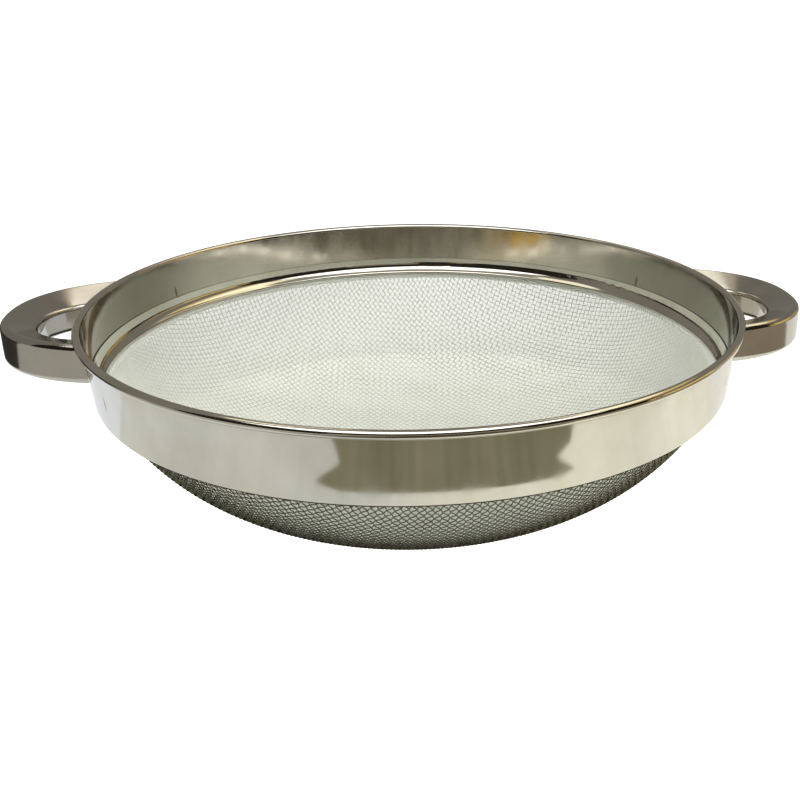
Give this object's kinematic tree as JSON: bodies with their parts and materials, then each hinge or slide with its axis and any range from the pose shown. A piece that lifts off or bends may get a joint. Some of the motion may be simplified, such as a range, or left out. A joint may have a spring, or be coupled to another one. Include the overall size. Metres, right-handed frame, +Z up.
{
  "type": "double sieve strainer",
  "caption": "Round strainer: a polished steel hoop with a rolled rim holds a fine dished mesh on a coarse one, with hollow loop handles at its sides.",
  "frame": {"origin": "centre of the flat base disc of the bowl, on the surface the strainer stands on", "axes": "+Z up, +X and -X towards the two handles, +Y across them"},
  "size_m": [0.3626, 0.2976, 0.091],
  "materials": {
    "polished_steel": "mirror-polished stainless sheet",
    "steel_wire": "drawn stainless wire",
    "coarse_wire": "woven drawn wire, satin",
    "fine_wire": "fine woven wire, pale satin",
    "handle_steel": "polished pressed stainless sheet",
    "bracket_steel": "plain stainless sheet"
  },
  "bodies": {
    "root": {"hoop_band": "polished_steel", "rim_wire": "steel_wire", "clamp_ring": "polished_steel", "coarse_mesh": "coarse_wire", "fine_mesh": "fine_wire", "left_handle_shell": "handle_steel", "left_handle_base": "handle_steel", "left_handle_end_plates": "bracket_steel", "right_handle_shell": "handle_steel", "right_handle_base": "handle_steel", "right_handle_end_plates": "bracket_steel"}
  },
  "joints": []
}
